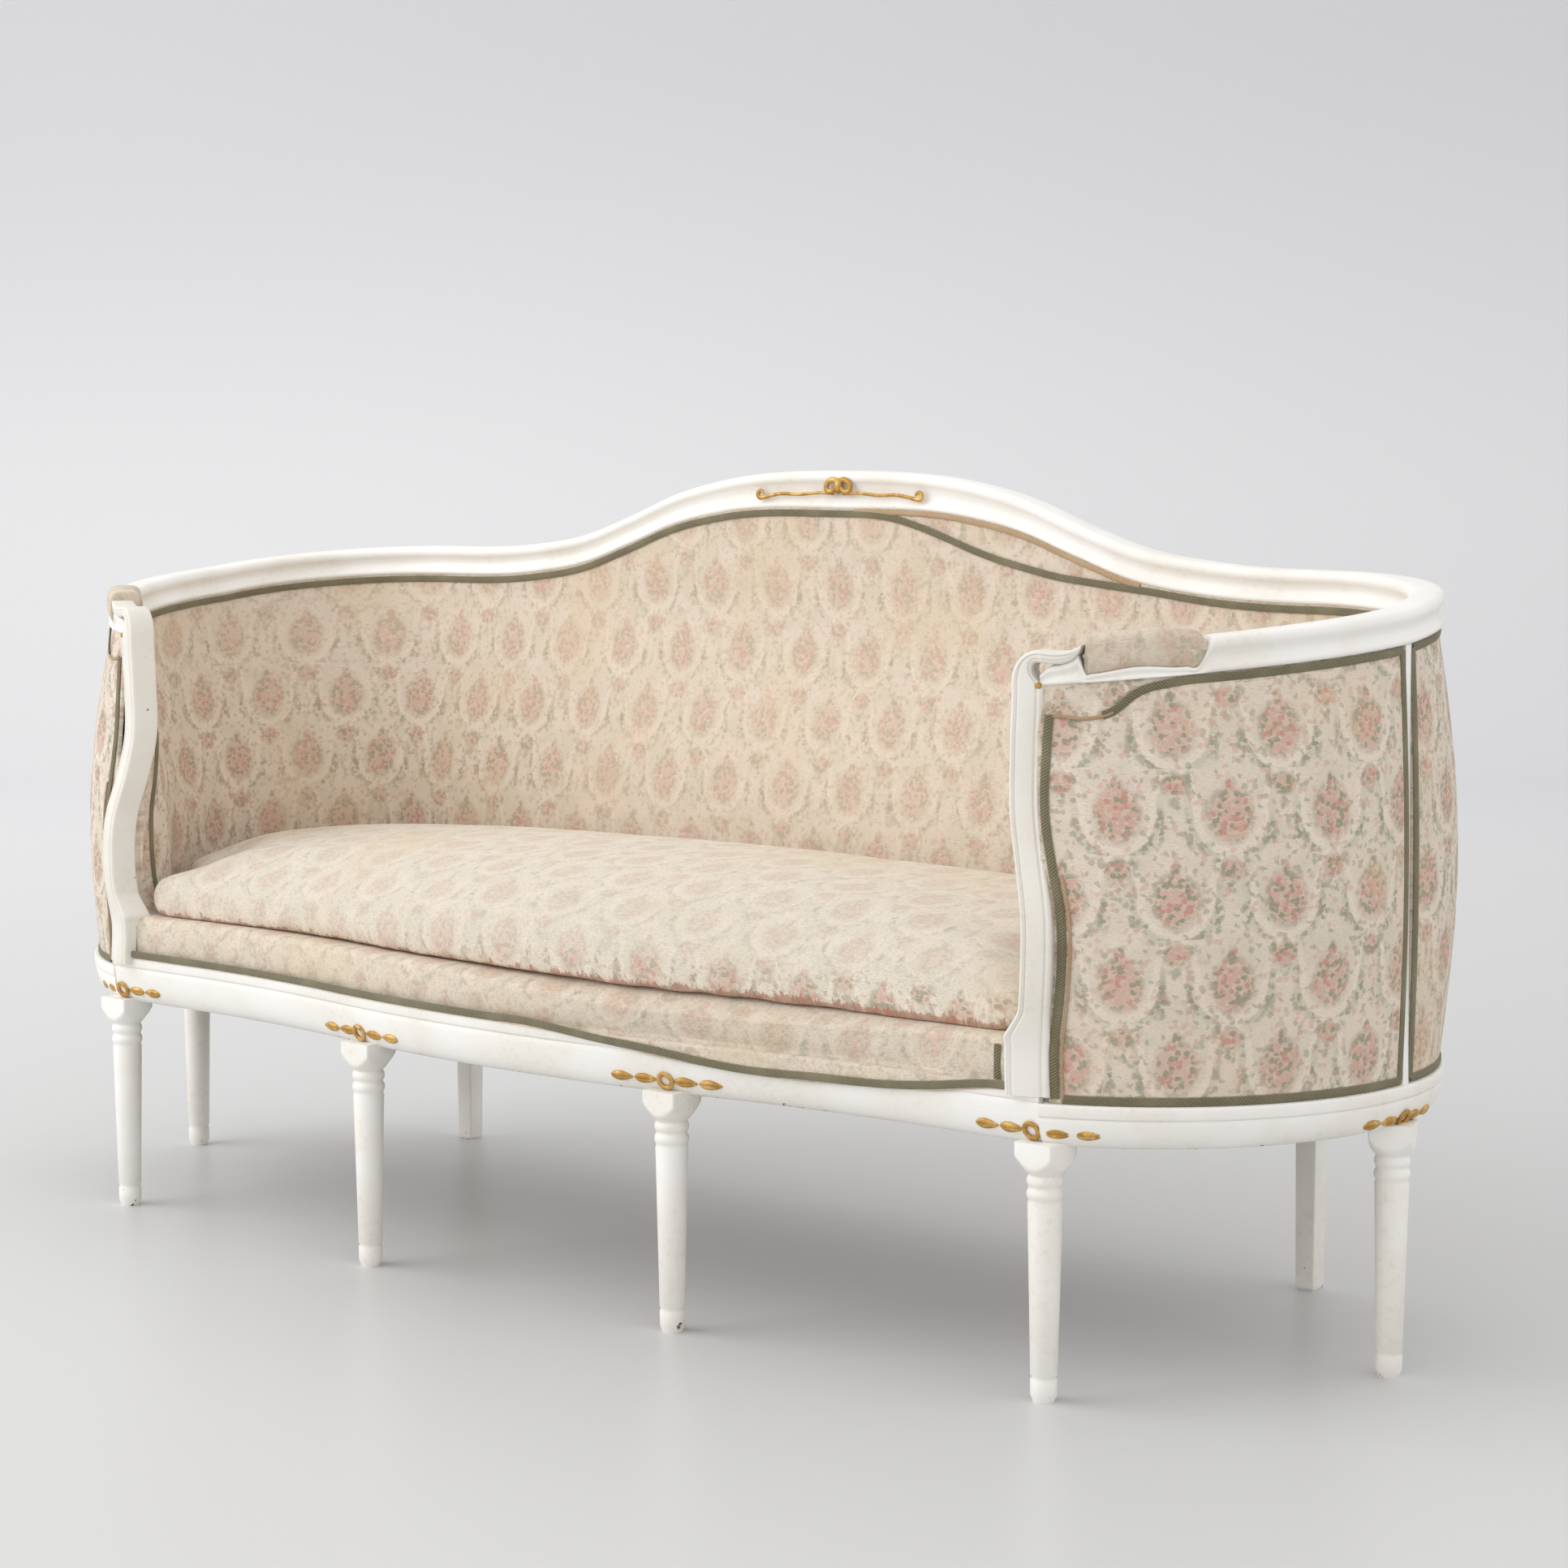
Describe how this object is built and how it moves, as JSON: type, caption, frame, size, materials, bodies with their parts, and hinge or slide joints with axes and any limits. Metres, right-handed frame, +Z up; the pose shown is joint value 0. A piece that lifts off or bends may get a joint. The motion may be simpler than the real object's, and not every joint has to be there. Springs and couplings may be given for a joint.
{
  "type": "gustavian sofa",
  "caption": "White painted and gilt sofa with a humped crest, curved ends, turned legs, floral brocade upholstery and a loose seat cushion.",
  "frame": {"origin": "on the floor, midway between the two ends and midway between front and back", "axes": "+X towards the end on the viewer's right when the sofa is seen from the front, +Y from the front to the back, +Z up"},
  "size_m": [1.988, 0.6897, 0.965],
  "materials": {
    "painted_wood": "satin oil paint, lightly chipped",
    "bare_wood": "sawn pine",
    "jute": "woven jute",
    "floral_fabric": "silk brocade with flowers",
    "braid": "woven braid",
    "gilt": "gilded, worn"
  },
  "bodies": {
    "sofa": {"front_seat_rail": "painted_wood", "side_seat_rail_right": "painted_wood", "side_seat_rail_left": "painted_wood", "corner_seat_rail_right": "painted_wood", "corner_seat_rail_left": "painted_wood", "back_seat_rail": "painted_wood", "front_leg_outer_right": "painted_wood", "front_leg_outer_left": "painted_wood", "front_leg_inner_right": "painted_wood", "front_leg_inner_left": "painted_wood", "side_leg_right": "painted_wood", "side_leg_left": "painted_wood", "back_leg_right": "painted_wood", "back_leg_left": "painted_wood", "arm_post_right": "painted_wood", "arm_post_left": "painted_wood", "arm_rail_right": "painted_wood", "arm_rail_left": "painted_wood", "corner_top_rail_right": "painted_wood", "corner_top_rail_left": "painted_wood", "crest_rail": "painted_wood", "rear_arm_stile_right": "painted_wood", "rear_arm_stile_left": "painted_wood", "back_stile_right": "painted_wood", "back_stile_left": "painted_wood", "side_tack_rail_right": "bare_wood", "side_tack_rail_left": "bare_wood", "corner_tack_rail_right": "bare_wood", "corner_tack_rail_left": "bare_wood", "back_tack_rail": "bare_wood", "seat_cross_bars": "bare_wood", "joint_blocks": "bare_wood", "seat_webbing": "jute", "wall_webbing": "jute", "seat_base_cloth": "jute", "stuffed_seat": "floral_fabric", "inside_back_upholstery": "floral_fabric", "inside_corner_upholstery_right": "floral_fabric", "inside_corner_upholstery_left": "floral_fabric", "inside_arm_upholstery_right": "floral_fabric", "inside_arm_upholstery_left": "floral_fabric", "outside_back_panel": "floral_fabric", "outside_corner_panel_right": "floral_fabric", "outside_corner_panel_left": "floral_fabric", "outside_arm_panel_right": "floral_fabric", "outside_arm_panel_left": "floral_fabric", "arm_pad_right": "floral_fabric", "arm_pad_left": "floral_fabric", "inside_gimp": "braid", "front_gimp": "braid", "outside_gimp_right": "braid", "outside_gimp_left": "braid", "knuckle_eyes": "gilt", "leg_ornaments": "gilt", "crest_ornament": "gilt"},
    "cushion": {"seat_cushion": "floral_fabric"}
  },
  "joints": [
    {"name": "seat_cushion_lift", "type": "slide", "parent": "sofa", "child": "cushion", "axis": [0, 0, 1], "range_m": [0, 0.5]}
  ]
}
